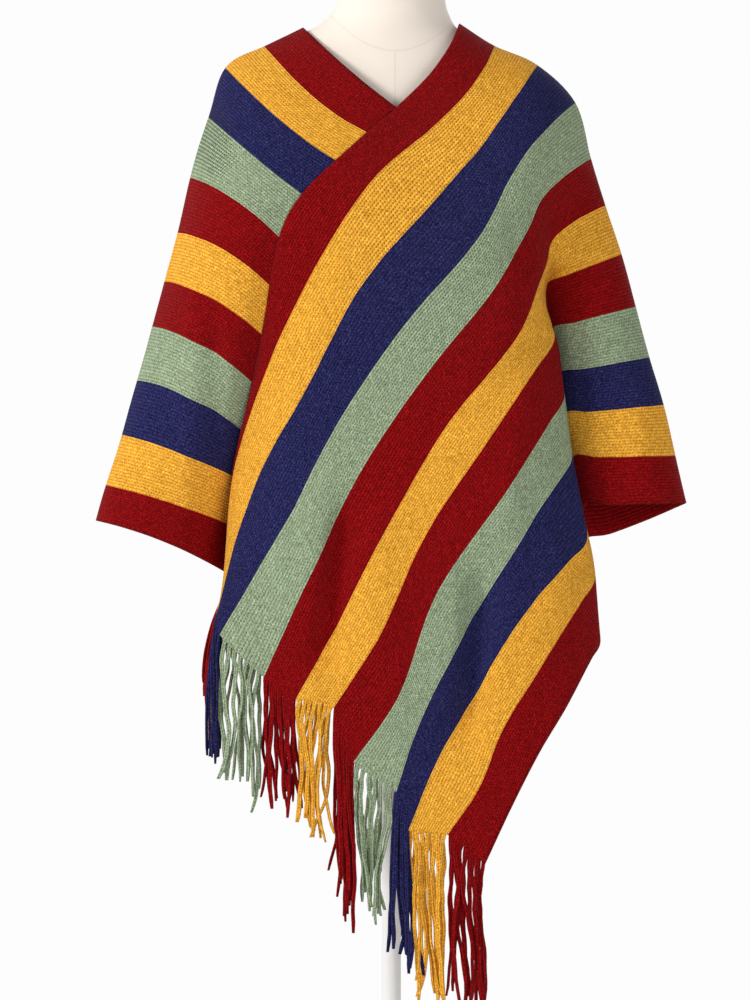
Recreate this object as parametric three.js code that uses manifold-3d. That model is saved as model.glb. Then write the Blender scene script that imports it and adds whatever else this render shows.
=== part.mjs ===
// A knitted poncho sweater worn by a limbless dress form on a pole and a round base.
// A long striped strip folds over one shoulder and hangs down in front and behind.
// A short strip covers the other shoulder and is sewn under the long one's inner edge.
// Millimetres, +Z up, the garment's front faces -Y, the origin lies under the middle of the base.

import * as THREE from "three";
import { mergeVertices } from "three/addons/utils/BufferGeometryUtils.js";
import Module from "manifold-3d";

const wasm = await Module();
wasm.setup();

// Driving dimensions
const WALL = 2.4;
const SEAM_GAP = 0.3;
const STRIPES = 11;
const CELLS_PER_STRIPE = 2;
const CELLS_ACROSS = STRIPES * CELLS_PER_STRIPE;
const SEAM_HALF = WALL / 2 + 0.6;
const BACK_DEPTH_SHARE = 0.88;
const BODY_SQUARENESS = 4;

// Rows along the long strip, counted from the shoulder fold to the fringed end
const ARM_ROW = 4;
const TUCK_ROW = 5;
const EDGE_ROW = 7;
const CHEST_ROW = 11;
const WAIST_ROW = 16;
const HIP_ROW = 21;
const HEM_ROW = 26;

// Rows along the short strip, from its shoulder fold to the seam
const SEAM_ROW = 6;

// Sleeves
const SLEEVE_DEPTH = 46;
const SLEEVE_TURN = 150;
const SHOULDER_TURN = 90;
const TUCK_INSET = 9;
const CUFF_BACK_DROP = 36;

// Fringe
const STRANDS_PER_STRIPE = 8;
const STRAND_WIDTH = 3.3;
const STRAND_STEPS = 2;
const STRAND_SIDES = 3;
const ROOTS_FROM = 0.02;
const ROOTS_TO = 0.96;
const BACKING_PART = 0.16;
const BACKING_HEIGHT = 3;

// Stand
const BASE_RADIUS = 175;
const BASE_HEIGHT = 16;
const POLE_RADIUS = 10;
const NECK_TOP = 1462;
const FORM_BOTTOM = 790;
const CAP_HEIGHT = 9;
const FORM_CENTRE = -6;
const FORM_CLEARANCE = 1.2;
const FORM_BACK_SHARE = 0.86;

const COLOURS = {
  darkRed: { color: 0x8b0f16, roughness: 0.95, metalness: 0 },
  mustard: { color: 0xe8a226, roughness: 0.95, metalness: 0 },
  navy: { color: 0x212060, roughness: 0.95, metalness: 0 },
  sage: { color: 0x8faa8a, roughness: 0.95, metalness: 0 },
  creamCloth: { color: 0xf0e6da, roughness: 0.85, metalness: 0 },
  paleMetal: { color: 0xf2f2f0, roughness: 0.4, metalness: 0 },
};

const STRIPE_COLOURS = [
  "darkRed", "mustard", "navy", "sage", "darkRed", "mustard",
  "darkRed", "sage", "navy", "mustard", "darkRed",
];

// Long strip over the shoulder: a row for each stripe boundary, from the neck edge to the outer edge.
// Each station is a place seen from the front: x to the right and z up.
// tuck is how far in front of the middle the hidden crease between sleeve and body lies.
const OVER_SHOULDER = [
  // ridgeX, ridgeZ, armX, armZ, bow, tuck, tuckFall
  [71, 1399, 5, 1308, 10, 0, 0],
  [107, 1376, 38, 1284, 10, 0, 0],
  [153, 1356, 91, 1264, 1, 0, 0],
  [193, 1316, 122, 1231, -7, 0, 0],
  [209, 1259, 143, 1185, -13, 0, 0],
  [225, 1209, 162, 1147, -19, 0, 0],
  [242, 1157, 164, 1126, 0, 32, 0.35],
  [257, 1101, 170, 1078, 0, 23, 0.35],
  [271, 1049, 177, 1032, 0, 17, 0.35],
  [286, 998, 182, 988, 0, 12, 0.35],
  [299, 944, 191, 942, 0, 7, 0.4],
  [311, 894, 203, 890, 0, SEAM_HALF, 0.5],
];

// Long strip down the front: the same boundaries from the body's edge to the fringed end
const DOWN_FRONT = [
  // edgeX, edgeZ, chestX, chestZ, waistX, waistZ, hipX, hipZ, hemX, hemZ
  [-41, 1268, -108, 1196, -136, 1071, -159, 946, -170, 818],
  [-18, 1236, -78, 1146, -130, 1037, -166, 923, -176, 797],
  [44, 1211, -32, 1122, -90, 1013, -146, 908, -183, 776],
  [91, 1172, 13, 1080, -55, 980, -111, 874, -180, 756],
  [107, 1121, 32, 1026, -36, 924, -88, 816, -135, 713],
  [132, 1072, 58, 977, -4, 872, -57, 769, -101, 689],
  [170, 1064, 102, 962, 36, 862, -14, 754, -61, 680],
  [180, 1003, 116, 901, 48, 801, 6, 690, -40, 623],
  [188, 942, 125, 841, 68, 746, 27, 660, 4, 593],
  [204, 856, 133, 771, 87, 693, 47, 625, 17, 552],
  [213, 814, 156, 723, 116, 657, 91, 596, 58, 547],
  [219, 748, 183, 680, 154, 631, 127, 578, 98, 516],
];

// How far in front of the middle the fringed end lies where it turns round the side
const HEM_SIDE_DEPTHS = [SEAM_HALF, 36, 66, 86];

// Short strip: a row for each stripe boundary, from the neck edge to the cuff.
// rise lifts the middle of the line, bulge is the sleeve's own depth.
const SHORT_STRIP = [
  // ridgeX, ridgeZ, rise, bulge
  [-93, 1395, -4, 0],
  [-133, 1376, -11, 0],
  [-174, 1353, -8, 2],
  [-192, 1301, -3, 8],
  [-211, 1239, 7, 15],
  [-224, 1180, 9, 22],
  [-238, 1128, 9, 28],
  [-251, 1080, 9, 32],
  [-267, 1025, 9, 36],
  [-283, 967, 4, 40],
  [-300, 913, 4, 43],
  [-311, 875, 7, 45],
];

// Body of the worn cloth: a row for each height, from the neck down
const BODY_SECTIONS = [
  // z, left, right, front
  [1400, -120, 115, 50],
  [1356, -165, 165, 72],
  [1308, -190, 205, 90],
  [1240, -200, 215, 108],
  [1168, -178, 173, 118],
  [1065, -170, 180, 116],
  [945, -172, 199, 110],
  [818, -190, 220, 106],
  [748, -194, 228, 103],
  [500, -196, 232, 97],
];

// Largest folds: soft troughs in the front and back, each along a straight line
const FOLDS = [
  // topX, topZ, lowX, lowZ, width, depth
  [-40, 930, -66, 735, 27, 12],
  [96, 860, 80, 650, 27, 12],
  [20, 900, 10, 740, 24, 4],
  [-60, 1190, -112, 1075, 20, 5],
];

// Dress form: a row for each height, from the top of the neck down
const FORM_SECTIONS = [
  // z, centreX, halfWidth, halfDepth
  [NECK_TOP, 0, 56, 52],
  [1432, 0, 56, 51],
  [1416, -2, 59, 50],
  [1400, -5, 63, 48],
];

const FORM_SHOULDERS = [
  // z, halfDepth, fullness
  [1394, 49, 1.5],
  [1376, 56, 1.5],
  [1366, 60, 1.5],
  [1356, 64, 1.5],
  [1338, 68, 1.6],
  [1318, 72, 1.7],
];

const FORM_BODY = [
  // z, halfWidth, halfDepth
  [1290, 176, 78],
  [1240, 172, 88],
  [1180, 160, 96],
  [1110, 150, 96],
  [1020, 136, 88],
  [930, 146, 84],
  [850, 158, 84],
  [FORM_BOTTOM, 160, 82],
];

// Length of the strands of each stripe
const STRAND_LENGTHS = [124, 129, 138, 135, 122, 134, 182, 144, 157, 168, 174];
const STRAND_UNEVENNESS = 0.07;

// Where the tips of each stripe's strands spread, from the front
const TIP_SPANS = [
  // fromX, toX
  [-197, -189],
  [-193, -190],
  [-194, -182],
  [-180, -138],
  [-134, -97],
  [-96, -69],
  [-58, -38],
  [-36, -7],
  [-3, 26],
  [28, 59],
  [62, 100],
];

function vec(x, y, z) {
  return new THREE.Vector3(x, y, z);
}

// Value between the rows of a table whose first column falls
function readTable(table, column, key) {
  if (key >= table[0][0]) {
    return table[0][column];
  }
  for (let row = 1; row < table.length; row += 1) {
    const above = table[row - 1];
    const below = table[row];
    if (key >= below[0]) {
      const share = (above[0] - key) / (above[0] - below[0]);
      return THREE.MathUtils.lerp(above[column], below[column], share);
    }
  }
  return table[table.length - 1][column];
}

// Fall of the cloth below the shoulder ridge at one side-to-side place
function ridgeHeight(x) {
  const right = OVER_SHOULDER.map((row) => [row[0], row[1]]);
  const left = SHORT_STRIP.map((row) => [row[0], row[1]]);
  const line = [...left.reverse(), ...right];
  for (let i = 1; i < line.length; i += 1) {
    if (x <= line[i][0]) {
      const share = (x - line[i - 1][0]) / (line[i][0] - line[i - 1][0]);
      return THREE.MathUtils.lerp(line[i - 1][1], line[i][1], Math.max(share, 0));
    }
  }
  return line[line.length - 1][1];
}

// How far in front of the middle the body cloth lies
function bodyDepth(x, z) {
  const left = readTable(BODY_SECTIONS, 1, z);
  const right = readTable(BODY_SECTIONS, 2, z);
  const front = readTable(BODY_SECTIONS, 3, z);
  const across = THREE.MathUtils.clamp((2 * x - left - right) / (right - left), -1, 1);
  const roundness = Math.sqrt(1 - Math.abs(across) ** BODY_SQUARENESS);
  const fall = THREE.MathUtils.clamp((ridgeHeight(x) - z) / 110, 0, 1);
  return front * roundness * Math.sqrt(1 - (1 - fall) ** 2);
}

function smooth(share) {
  const t = THREE.MathUtils.clamp(share, 0, 1);
  return t * t * (3 - 2 * t);
}

// Depth taken out of the cloth by the troughs at one place
function foldDepth(x, z) {
  let total = 0;
  for (const [topX, topZ, lowX, lowZ, width, depth] of FOLDS) {
    const along = (topZ - z) / (topZ - lowZ);
    const ends = smooth(along * 3) * smooth((1.25 - along) * 3);
    const offset = (x - THREE.MathUtils.lerp(topX, lowX, along)) / width;
    total += depth * ends * Math.exp(-offset * offset);
  }
  return total;
}

// Front point of the long strip at a named station
function frontPoint(x, z) {
  return vec(x, -Math.max(bodyDepth(x, z), SEAM_HALF), z);
}

// The stretch from the shoulder fold to where the sleeve or chest begins, bowed to one side
function shoulderStretch(ridge, arm, bow, depth, turn, rows) {
  const points = [];
  const whole = THREE.MathUtils.degToRad(turn);
  for (let row = 0; row <= rows; row += 1) {
    const angle = (whole * row) / rows;
    const share = (1 - Math.cos(angle)) / (1 - Math.cos(whole));
    const x = THREE.MathUtils.lerp(ridge[0], arm[0], share) + 4 * bow * share * (1 - share);
    const z = THREE.MathUtils.lerp(ridge[1], arm[1], share);
    points.push(vec(x, -depth * Math.sin(angle), z));
  }
  return points;
}

// One stripe boundary of the long strip from the shoulder fold to the fringed end
function longBoundary(k) {
  const [ridgeX, ridgeZ, armX, armZ, bow, tuck, tuckFall] = OVER_SHOULDER[k];
  const [edgeX, edgeZ] = DOWN_FRONT[k];
  const sleeve = tuck > 0;
  const depth = sleeve ? SLEEVE_DEPTH : bodyDepth(armX, armZ);
  const turn = sleeve ? SLEEVE_TURN : SHOULDER_TURN;
  const points = shoulderStretch([ridgeX, ridgeZ], [armX, armZ], bow, depth, turn, ARM_ROW);
  const corners = [];
  for (let column = 0; column < DOWN_FRONT[k].length; column += 2) {
    corners.push(vec(DOWN_FRONT[k][column], 0, DOWN_FRONT[k][column + 1]));
  }
  const stations = [EDGE_ROW, CHEST_ROW, WAIST_ROW, HIP_ROW, HEM_ROW];
  if (sleeve) {
    const tuckX = Math.min(armX, edgeX) - TUCK_INSET;
    const tuckZ = THREE.MathUtils.lerp(armZ, edgeZ, tuckFall);
    const edgeDepth = bodyDepth(edgeX, edgeZ);
    points.push(vec(tuckX, -tuck, tuckZ));
    const sideZ = THREE.MathUtils.lerp(tuckZ, edgeZ, 0.55);
    const sideX = THREE.MathUtils.lerp(tuckX, edgeX, 0.72);
    points.push(vec(sideX, -THREE.MathUtils.lerp(tuck, edgeDepth, 0.42), sideZ));
  } else {
    corners.unshift(vec(armX, 0, armZ));
    stations.unshift(ARM_ROW);
  }
  const flat = new THREE.CatmullRomCurve3(corners, false, "centripetal");
  for (let row = points.length; row <= HEM_ROW; row += 1) {
    let part = stations.length - 2;
    while (row < stations[part]) {
      part -= 1;
    }
    const share = (row - stations[part]) / (stations[part + 1] - stations[part]);
    const place = flat.getPoint((part + share) / (stations.length - 1));
    points.push(frontPoint(place.x, place.z));
  }
  if (k < HEM_SIDE_DEPTHS.length) {
    for (let row = HIP_ROW - 3; row <= HEM_ROW; row += 1) {
      const share = smooth((row - HIP_ROW + 4) / (HEM_ROW - HIP_ROW + 4));
      points[row].y = THREE.MathUtils.lerp(points[row].y, -HEM_SIDE_DEPTHS[k], share);
    }
  }
  return points;
}

// Adds the lines between the stripe boundaries, so that the grid has even cells across
function refineAcross(boundaries) {
  const rows = boundaries[0].length;
  const grid = [];
  for (let row = 0; row < rows; row += 1) {
    const curve = new THREE.CatmullRomCurve3(boundaries.map((line) => line[row]), false, "catmullrom", 0.5);
    const points = [];
    for (let cell = 0; cell <= CELLS_ACROSS; cell += 1) {
      points.push(curve.getPoint(cell / CELLS_ACROSS));
    }
    grid.push(points);
  }
  return grid;
}

// Front half of a strip, mirrored to the back with its own depth and joined at the fold
function wholeStrip(front, backChange) {
  const back = front.slice(1).map((line, index) => line.map((point, column) => {
    const depth = Math.max(-point.y * BACK_DEPTH_SHARE, SEAM_HALF);
    return backChange(vec(point.x, depth, point.z), index + 1, column);
  }));
  return [...front.slice().reverse(), ...back];
}

// Outward direction of the cloth at every point of a grid
function gridNormals(grid) {
  const rows = grid.length;
  const columns = grid[0].length;
  return grid.map((line, row) => line.map((point, column) => {
    const along = grid[Math.min(row + 1, rows - 1)][column].clone();
    along.sub(grid[Math.max(row - 1, 0)][column]).normalize();
    const across = line[Math.min(column + 1, columns - 1)].clone();
    across.sub(line[Math.max(column - 1, 0)]).normalize();
    return along.cross(across).normalize();
  }));
}

// Closed wall of one cloth thickness round a grid of middle points
function clothSolid(grid, normals, thickness) {
  const rows = grid.length;
  const columns = grid[0].length;
  const positions = [];
  for (const side of [1, -1]) {
    for (let row = 0; row < rows; row += 1) {
      for (let column = 0; column < columns; column += 1) {
        const point = grid[row][column].clone();
        point.addScaledVector(normals[row][column], (side * thickness) / 2);
        positions.push(point.x, point.y, point.z);
      }
    }
  }
  const layer = rows * columns;
  const at = (row, column) => row * columns + column;
  const indices = [];
  const quad = (a, b, c, d) => indices.push(a, b, c, a, c, d);
  for (let row = 0; row < rows - 1; row += 1) {
    for (let column = 0; column < columns - 1; column += 1) {
      const corners = [at(row, column), at(row + 1, column), at(row + 1, column + 1), at(row, column + 1)];
      quad(...corners);
      quad(...corners.map((corner) => corner + layer).reverse());
    }
  }
  const rim = [];
  for (let column = 0; column < columns - 1; column += 1) {
    rim.push(at(0, column));
  }
  for (let row = 0; row < rows - 1; row += 1) {
    rim.push(at(row, columns - 1));
  }
  for (let column = columns - 1; column > 0; column -= 1) {
    rim.push(at(rows - 1, column));
  }
  for (let row = rows - 1; row > 0; row -= 1) {
    rim.push(at(row, 0));
  }
  rim.forEach((corner, index) => {
    const next = rim[(index + 1) % rim.length];
    quad(corner, next, next + layer, corner + layer);
  });
  const geometry = new THREE.BufferGeometry();
  geometry.setAttribute("position", new THREE.Float32BufferAttribute(positions, 3));
  geometry.setIndex(indices);
  return geometry;
}

// Solid for joining, from a closed geometry
function toManifold(geometry) {
  const bare = geometry.clone();
  bare.deleteAttribute("normal");
  bare.deleteAttribute("uv");
  const merged = mergeVertices(bare, 1e-3);
  return new wasm.Manifold(new wasm.Mesh({
    numProp: 3,
    vertProperties: Float32Array.from(merged.attributes.position.array),
    triVerts: Uint32Array.from(merged.index.array),
  }));
}

function fromManifold(solid) {
  const mesh = solid.getMesh();
  const geometry = new THREE.BufferGeometry();
  geometry.setAttribute("position", new THREE.BufferAttribute(Float32Array.from(mesh.vertProperties), 3));
  geometry.setIndex(Array.from(mesh.triVerts));
  return geometry;
}

function clothMesh(name, geometry, look) {
  const material = new THREE.MeshStandardMaterial(COLOURS[look]);
  const mesh = new THREE.Mesh(geometry, material);
  mesh.name = name;
  return mesh;
}

// Long strip, with the back of the cuff hanging lower than its front
function wrapGrid() {
  const front = refineAcross(OVER_SHOULDER.map((row, k) => longBoundary(k)));
  for (const point of front.slice(ARM_ROW).flat()) {
    point.y = Math.min(point.y + foldDepth(point.x, point.z), -SEAM_HALF);
  }
  return wholeStrip(front, (point, row, column) => {
    const nearCuff = smooth((column / CELLS_PER_STRIPE - 9) / 2);
    const nearBody = smooth(row / ARM_ROW) * (row <= ARM_ROW ? 1 : 0);
    point.z -= CUFF_BACK_DROP * nearCuff * nearBody;
    return point;
  });
}

// One stretch of the long strip, drawn back from the shoulder fold by half the seam gap
function wrapStretch(grid, normals, side) {
  const rows = side < 0 ? [0, HEM_ROW + 1] : [HEM_ROW, grid.length];
  const points = grid.slice(...rows).map((line) => line.map((point) => point.clone()));
  const fold = side < 0 ? points[HEM_ROW] : points[0];
  for (const point of fold) {
    point.y += (side * SEAM_GAP) / 2;
  }
  return clothSolid(points, normals.slice(...rows), WALL);
}

// Seam ends of the short strip: the long strip's inner edge, parted by the seam gap
function seamLine(grid, normals, firstRow, step) {
  const points = [];
  for (let cell = 0; cell <= CELLS_ACROSS; cell += 1) {
    const row = firstRow + step * cell;
    const point = grid[row][0].clone();
    const inward = grid[row][1].clone().sub(point);
    const normal = normals[row][0];
    inward.addScaledVector(normal, -inward.dot(normal));
    inward.normalize();
    points.push({ point: point.addScaledVector(inward, -SEAM_GAP), normal });
  }
  return points;
}

// Short strip between its shoulder fold and one seam, side is -1 in front and 1 behind
function shortHalf(seam, side) {
  const ridge = new THREE.CatmullRomCurve3(
    SHORT_STRIP.map(([x, z]) => vec(x, 0, z)), false, "catmullrom", 0.5,
  );
  const rows = [];
  for (let row = 0; row <= SEAM_ROW; row += 1) {
    const line = [];
    for (let cell = 0; cell <= CELLS_ACROSS; cell += 1) {
      const stripe = cell / CELLS_PER_STRIPE;
      const low = Math.min(Math.floor(stripe), STRIPES - 1);
      const share = stripe - low;
      const rise = THREE.MathUtils.lerp(SHORT_STRIP[low][2], SHORT_STRIP[low + 1][2], share);
      const bulge = THREE.MathUtils.lerp(SHORT_STRIP[low][3], SHORT_STRIP[low + 1][3], share);
      const turn = SHOULDER_TURN + (SLEEVE_TURN - SHOULDER_TURN) * (stripe / STRIPES);
      const whole = THREE.MathUtils.degToRad(turn);
      const along = row / SEAM_ROW;
      const reach = (1 - Math.cos(whole * along)) / (1 - Math.cos(whole));
      const end = seam[cell].point;
      const point = ridge.getPoint(cell / CELLS_ACROSS).lerp(vec(end.x, 0, end.z), reach);
      point.z += 4 * rise * reach * (1 - reach);
      const bow = Math.sin(Math.PI * along) ** 0.8;
      const depth = Math.abs(end.y) * Math.sin((Math.PI / 2) * along) + bulge * bow;
      point.y = side * depth;
      line.push(row === SEAM_ROW ? end.clone() : point);
    }
    rows.push(line);
  }
  return rows;
}

function shortStrip(longGrid, longNormals) {
  const foldRow = HEM_ROW;
  const frontSeam = seamLine(longGrid, longNormals, foldRow - ARM_ROW, -1);
  const backSeam = seamLine(longGrid, longNormals, foldRow + ARM_ROW, 1);
  const front = shortHalf(frontSeam, -1);
  const back = shortHalf(backSeam, 1);
  const grid = [...back.slice().reverse(), ...front.slice(1)];
  const normals = gridNormals(grid);
  normals[0] = backSeam.map(({ normal }) => normal.clone());
  normals[grid.length - 1] = frontSeam.map(({ normal }) => normal.clone());
  return clothSolid(grid, normals, WALL);
}

// Unevenness that repeats the same way in every build
function unevenness(seed) {
  const wave = Math.sin(seed * 12.9898) * 43758.5453;
  return 2 * (wave - Math.floor(wave)) - 1;
}

// One cord of the fringe: a three-sided tapering rod along a falling, slightly waving line
function strand(root, tip, seed) {
  const rings = [];
  for (let step = 0; step <= STRAND_STEPS; step += 1) {
    const share = step / STRAND_STEPS;
    const centre = root.clone().lerp(tip, share);
    const sway = Math.sin(share * Math.PI * 1.5 + seed) * share * 0.7;
    centre.x += sway;
    const radius = (STRAND_WIDTH / 2) * (step === STRAND_STEPS ? 0.8 : 1.1);
    const ring = [];
    for (let corner = 0; corner < STRAND_SIDES; corner += 1) {
      const angle = seed + (2 * Math.PI * corner) / STRAND_SIDES;
      ring.push(vec(centre.x + radius * Math.cos(angle), centre.y + radius * Math.sin(angle), centre.z));
    }
    rings.push(ring);
  }
  const positions = rings.flat().flatMap((point) => [point.x, point.y, point.z]);
  const indices = [];
  for (let step = 0; step < STRAND_STEPS; step += 1) {
    for (let corner = 0; corner < STRAND_SIDES; corner += 1) {
      const next = (corner + 1) % STRAND_SIDES;
      const a = step * STRAND_SIDES + corner;
      const b = step * STRAND_SIDES + next;
      indices.push(a, a + STRAND_SIDES, b + STRAND_SIDES, a, b + STRAND_SIDES, b);
    }
  }
  const last = STRAND_STEPS * STRAND_SIDES;
  for (let corner = 1; corner < STRAND_SIDES - 1; corner += 1) {
    indices.push(0, corner, corner + 1);
    indices.push(last, last + corner + 1, last + corner);
  }
  const geometry = new THREE.BufferGeometry();
  geometry.setAttribute("position", new THREE.Float32BufferAttribute(positions, 3));
  geometry.setIndex(indices);
  return geometry;
}

// Narrow strip parted from the cloth's end, and the cords whose roots are in it
function fringeNode(stripe, line, normals, beyond, side) {
  const first = stripe * CELLS_PER_STRIPE;
  const edge = [];
  const edgeNormals = [];
  for (let cell = first; cell <= first + CELLS_PER_STRIPE; cell += 1) {
    const towards = Math.sign(first + CELLS_PER_STRIPE / 2 - cell);
    edge.push(line[cell].clone().lerp(line[cell + towards], BACKING_PART * Math.abs(towards)));
    edgeNormals.push(normals[cell]);
  }
  const outward = edge.map((point, index) => {
    const away = point.clone().sub(beyond[first + index]);
    away.addScaledVector(edgeNormals[index], -away.dot(edgeNormals[index]));
    const tangent = edge[CELLS_PER_STRIPE].clone().sub(edge[0]).normalize();
    away.addScaledVector(tangent, -away.dot(tangent));
    return away.normalize();
  });
  const near = edge.map((point, index) => point.clone().addScaledVector(outward[index], 2 * SEAM_GAP));
  const far = near.map((point, index) => point.clone().addScaledVector(outward[index], BACKING_HEIGHT));
  const rows = side < 0 ? [far, near] : [near, far];
  const backing = clothSolid(rows, [edgeNormals, edgeNormals], WALL);
  let solid = toManifold(backing);
  const [fromX, toX] = TIP_SPANS[stripe];
  for (let index = 0; index < STRANDS_PER_STRIPE; index += 1) {
    const share = (index + 0.5) / STRANDS_PER_STRIPE;
    const place = THREE.MathUtils.lerp(ROOTS_FROM, ROOTS_TO, share) * CELLS_PER_STRIPE;
    const low = Math.min(Math.floor(place), CELLS_PER_STRIPE - 1);
    const root = near[low].clone().lerp(near[low + 1], place - low);
    root.addScaledVector(outward[low], BACKING_HEIGHT * 0.55);
    const level = edgeNormals[low].clone().setZ(0).normalize();
    const layer = (index % 2 === 0 ? 1 : -1) * STRAND_WIDTH * 0.62;
    const seed = stripe * 10 + index + (side < 0 ? 0 : 200);
    const length = STRAND_LENGTHS[stripe] * (1 + STRAND_UNEVENNESS * unevenness(seed));
    const tip = root.clone().addScaledVector(level, layer * 1.6);
    tip.x = THREE.MathUtils.lerp(fromX, toX, share) + level.x * layer;
    tip.z = root.z - length;
    const start = root.clone().addScaledVector(level, layer * 0.3);
    solid = solid.add(toManifold(strand(start, tip, seed)));
  }
  return fromManifold(solid);
}

// Outline of the dress form's shoulders, just inside the cloth's shoulder fold
function shoulderLevels() {
  const right = OVER_SHOULDER.slice(0, 4).map(([x, z]) => [x, z]);
  const left = SHORT_STRIP.slice(0, 4).map(([x, z]) => [x, z]);
  const inset = WALL / 2 + FORM_CLEARANCE;
  const widthAt = (line, z) => {
    for (let i = 1; i < line.length; i += 1) {
      if (z >= line[i][1]) {
        const [x0, z0] = line[i - 1];
        const [x1, z1] = line[i];
        const slope = Math.hypot(x1 - x0, z1 - z0) / Math.abs(z1 - z0);
        return Math.abs(THREE.MathUtils.lerp(x0, x1, (z0 - z) / (z0 - z1))) - inset * slope;
      }
    }
    return Math.abs(line[line.length - 1][0]) - inset;
  };
  return FORM_SHOULDERS.map(([z, halfDepth, fullness]) => {
    const rightX = widthAt(right, z);
    const leftX = -widthAt(left, z);
    return [z, (rightX + leftX) / 2, (rightX - leftX) / 2, halfDepth, fullness];
  });
}

// Dress form: neck, shoulders and torso in one closed body of level sections
function dressForm() {
  const body = FORM_BODY.map(([z, halfWidth, halfDepth]) => [z, FORM_CENTRE, halfWidth, halfDepth]);
  const sections = [...FORM_SECTIONS, ...shoulderLevels(), ...body];
  const sides = 36;
  const positions = [];
  for (const [z, centreX, halfWidth, halfDepth, fullness = 2] of sections) {
    for (let i = 0; i < sides; i += 1) {
      const angle = (2 * Math.PI * i) / sides;
      const depth = halfDepth * (angle < Math.PI ? FORM_BACK_SHARE : 1);
      const across = Math.sign(Math.cos(angle)) * Math.abs(Math.cos(angle)) ** (2 / fullness);
      const along = Math.sign(Math.sin(angle)) * Math.abs(Math.sin(angle)) ** (2 / fullness);
      positions.push(centreX + halfWidth * across, depth * along, z);
    }
  }
  const indices = [];
  for (let level = 0; level < sections.length - 1; level += 1) {
    for (let i = 0; i < sides; i += 1) {
      const next = (i + 1) % sides;
      const a = level * sides + i;
      const b = level * sides + next;
      indices.push(a, a + sides, b + sides, a, b + sides, b);
    }
  }
  const [topZ, topX] = sections[0];
  const [lowZ, lowX] = sections[sections.length - 1];
  const topCentre = positions.length / 3;
  positions.push(topX, 0, topZ);
  positions.push(lowX, 0, lowZ);
  const lastRing = (sections.length - 1) * sides;
  for (let i = 0; i < sides; i += 1) {
    const next = (i + 1) % sides;
    indices.push(topCentre, i, next);
    indices.push(topCentre + 1, lastRing + next, lastRing + i);
  }
  const geometry = new THREE.BufferGeometry();
  geometry.setAttribute("position", new THREE.Float32BufferAttribute(positions, 3));
  geometry.setIndex(indices);
  return geometry;
}

function turned(profile, segments) {
  const geometry = new THREE.LatheGeometry(profile.map(([r, z]) => new THREE.Vector2(r, z)), segments);
  geometry.rotateX(Math.PI / 2);
  return geometry;
}

const group = new THREE.Group();

const longGrid = wrapGrid();
const longNormals = gridNormals(longGrid);
group.add(clothMesh("wrap_front", wrapStretch(longGrid, longNormals, -1), "darkRed"));
group.add(clothMesh("wrap_back", wrapStretch(longGrid, longNormals, 1), "darkRed"));
group.add(clothMesh("shoulder_strip", shortStrip(longGrid, longNormals), "mustard"));

for (const side of [-1, 1]) {
  const last = longGrid.length - 1;
  const hem = side < 0 ? 0 : last;
  const inner = side < 0 ? 1 : last - 1;
  const face = side < 0 ? "front" : "back";
  for (let stripe = 0; stripe < STRIPES; stripe += 1) {
    const number = String(stripe + 1).padStart(2, "0");
    const geometry = fringeNode(stripe, longGrid[hem], longNormals[hem], longGrid[inner], side);
    group.add(clothMesh(`fringe_${face}_${number}`, geometry, STRIPE_COLOURS[stripe]));
  }
}

group.add(clothMesh("dress_form", dressForm(), "creamCloth"));

const capProfile = [
  [0, 0], [50, 0], [52, 2], [52, CAP_HEIGHT - 3], [49, CAP_HEIGHT], [0, CAP_HEIGHT],
];
const neckCap = clothMesh("neck_cap", turned(capProfile, 30), "creamCloth");
neckCap.position.z = NECK_TOP + SEAM_GAP;
group.add(neckCap);

const poleLength = FORM_BOTTOM - BASE_HEIGHT - 2 * SEAM_GAP;
const poleGeometry = new THREE.CylinderGeometry(POLE_RADIUS, POLE_RADIUS, poleLength, 24);
poleGeometry.rotateX(Math.PI / 2);
const pole = clothMesh("stand_pole", poleGeometry, "paleMetal");
pole.position.z = BASE_HEIGHT + SEAM_GAP + poleLength / 2;
group.add(pole);

const baseProfile = [
  [0, 0], [BASE_RADIUS, 0], [BASE_RADIUS, 5], [BASE_RADIUS - 4, 9], [60, BASE_HEIGHT], [0, BASE_HEIGHT],
];
group.add(clothMesh("stand_base", turned(baseProfile, 44), "paleMetal"));

export default group;
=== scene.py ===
"""Knitted poncho sweater on a dress form: the cloth, its fringe, the form and a pale studio."""

import math

import bmesh
import bpy
import numpy as np
from bpy.props import FloatProperty, FloatVectorProperty, IntProperty, PointerProperty
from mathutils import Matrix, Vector


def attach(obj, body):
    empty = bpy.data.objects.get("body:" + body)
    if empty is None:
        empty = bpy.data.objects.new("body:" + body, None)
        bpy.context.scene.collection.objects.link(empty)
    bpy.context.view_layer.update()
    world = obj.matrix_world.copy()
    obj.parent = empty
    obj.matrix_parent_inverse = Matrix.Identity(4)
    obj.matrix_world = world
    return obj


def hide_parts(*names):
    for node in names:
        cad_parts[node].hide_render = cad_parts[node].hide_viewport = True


bl_info = {
    "name": "Knitted poncho on a dress form",
    "version": (1, 0, 0),
    "blender": (4, 5, 0),
    "location": "3D View > Sidebar > Poncho",
    "description": "Makes a striped, fringed poncho sweater over a dress form",
    "category": "Add Mesh",
}

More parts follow.
